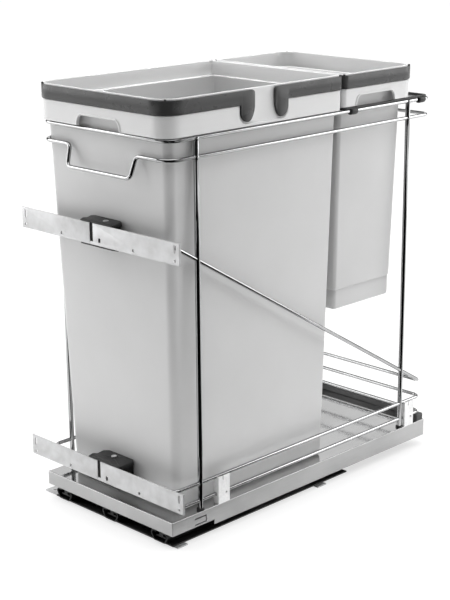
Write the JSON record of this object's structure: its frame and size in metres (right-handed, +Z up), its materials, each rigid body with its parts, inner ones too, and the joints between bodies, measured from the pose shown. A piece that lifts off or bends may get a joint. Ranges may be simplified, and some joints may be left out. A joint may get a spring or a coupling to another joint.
{
  "type": "pull-out waste bin unit",
  "caption": "Pull-out waste bin unit for a kitchen base cabinet: plastic bins in a chrome wire frame on a sliding platform, with brackets for a door front.",
  "frame": {"origin": "centre of the unit's footprint on the cabinet floor", "axes": "+Z up; the front, which carries the door brackets, faces -Y; +X is to the right seen from the front"},
  "size_m": [0.294, 0.51, 0.5594],
  "materials": {
    "black_steel": "black powder coat",
    "zinc_steel": "zinc plated, matt",
    "cage_plastic": "natural nylon",
    "polished_steel": "polished, reflects the wires above it",
    "chrome_wire": "bright chrome plate",
    "screw_steel": "zinc plated",
    "bin_plastic": "light grey, fine texture",
    "band_plastic": "dark grey, satin",
    "dark_plastic": "near black, satin"
  },
  "bodies": {
    "base": {"base_plate": "black_steel", "front_cross_bar": "zinc_steel", "rear_cross_bar": "zinc_steel", "outer_rail_left": "zinc_steel", "outer_rail_centre": "zinc_steel", "outer_rail_right": "zinc_steel"},
    "lower_cages": {"lower_ball_cage_left": "cage_plastic", "lower_ball_cage_centre": "cage_plastic", "lower_ball_cage_right": "cage_plastic"},
    "middle_slides": {"middle_rail_left": "zinc_steel", "middle_rail_centre": "zinc_steel", "middle_rail_right": "zinc_steel"},
    "upper_cages": {"upper_ball_cage_left": "cage_plastic", "upper_ball_cage_centre": "cage_plastic", "upper_ball_cage_right": "cage_plastic"},
    "pullout": {"inner_rail_left": "zinc_steel", "inner_rail_centre": "zinc_steel", "inner_rail_right": "zinc_steel", "platform": "polished_steel", "rear_edge_strip": "band_plastic", "rear_corner_block_left": "dark_plastic", "rear_corner_block_right": "dark_plastic", "low_rail": "chrome_wire", "mid_rail": "chrome_wire", "slanted_rail": "chrome_wire", "top_rail": "chrome_wire", "dip_rail": "chrome_wire", "upright_front_left": "chrome_wire", "upright_front_right": "chrome_wire", "upright_rear_left": "chrome_wire", "upright_rear_right": "chrome_wire", "upright_foot_front_left": "dark_plastic", "upright_foot_front_right": "dark_plastic", "upright_foot_rear_left": "dark_plastic", "upright_foot_rear_right": "dark_plastic", "rail_holder_front_left": "polished_steel", "rail_holder_front_right": "polished_steel", "rail_holder_rear_left": "polished_steel", "rail_holder_rear_right": "polished_steel", "upper_clip": "dark_plastic", "lower_clip": "dark_plastic", "small_bin_carrier": "dark_plastic"},
    "upper_plate_left": {"upper_door_plate_left": "zinc_steel"},
    "upper_plate_right": {"upper_door_plate_right": "zinc_steel"},
    "lower_plate_left": {"lower_door_plate_left": "zinc_steel"},
    "lower_plate_right": {"lower_door_plate_right": "zinc_steel"},
    "upper_screw": {"upper_clip_screw": "screw_steel"},
    "lower_screw": {"lower_clip_screw": "screw_steel"},
    "large_bin": {"large_bin": "bin_plastic"},
    "small_bin": {"small_bin": "bin_plastic"},
    "front_ring": {"large_bag_ring_front": "band_plastic"},
    "rear_ring": {"large_bag_ring_rear": "band_plastic"},
    "small_ring": {"small_bag_ring": "band_plastic"}
  },
  "joints": [
    {"name": "slide_out", "type": "slide", "parent": "base", "child": "pullout", "axis": [0, -1, 0], "range_m": [0, 0.45]},
    {"name": "middle_slide", "type": "slide", "parent": "base", "child": "middle_slides", "axis": [0, -1, 0], "range_m": [0, 0.225]},
    {"name": "lower_cage_roll", "type": "slide", "parent": "base", "child": "lower_cages", "axis": [0, -1, 0], "range_m": [0, 0.1125]},
    {"name": "upper_cage_roll", "type": "slide", "parent": "base", "child": "upper_cages", "axis": [0, -1, 0], "range_m": [0, 0.3375]},
    {"name": "large_bin_lift", "type": "slide", "parent": "pullout", "child": "large_bin", "axis": [0, 0, 1], "range_m": [0, 0.5]},
    {"name": "small_bin_lift", "type": "slide", "parent": "pullout", "child": "small_bin", "axis": [0, 0, 1], "range_m": [0, 0.3]},
    {"name": "front_ring_lift", "type": "slide", "parent": "large_bin", "child": "front_ring", "axis": [0, 0, 1], "range_m": [0, 0.05]},
    {"name": "rear_ring_lift", "type": "slide", "parent": "large_bin", "child": "rear_ring", "axis": [0, 0, 1], "range_m": [0, 0.05]},
    {"name": "small_ring_lift", "type": "slide", "parent": "small_bin", "child": "small_ring", "axis": [0, 0, 1], "range_m": [0, 0.05]},
    {"name": "upper_left_adjust", "type": "slide", "parent": "pullout", "child": "upper_plate_left", "axis": [1, 0, 0], "range_m": [-0.006, 0]},
    {"name": "upper_right_adjust", "type": "slide", "parent": "pullout", "child": "upper_plate_right", "axis": [1, 0, 0], "range_m": [0, 0.006]},
    {"name": "lower_left_adjust", "type": "slide", "parent": "pullout", "child": "lower_plate_left", "axis": [1, 0, 0], "range_m": [-0.006, 0]},
    {"name": "lower_right_adjust", "type": "slide", "parent": "pullout", "child": "lower_plate_right", "axis": [1, 0, 0], "range_m": [0, 0.006]},
    {"name": "upper_screw_turn", "type": "hinge", "parent": "pullout", "child": "upper_screw", "pos_m": [0.005, -0.2435, 0.399], "axis": [0, 0, 1], "continuous": true},
    {"name": "lower_screw_turn", "type": "hinge", "parent": "pullout", "child": "lower_screw", "pos_m": [-0.003, -0.235, 0.0865], "axis": [0, 0, 1], "continuous": true}
  ],
  "couplings": [
    {"joint": "middle_slide", "follows": "slide_out", "ratio": 0.5},
    {"joint": "lower_cage_roll", "follows": "slide_out", "ratio": 0.25},
    {"joint": "upper_cage_roll", "follows": "slide_out", "ratio": 0.75}
  ]
}
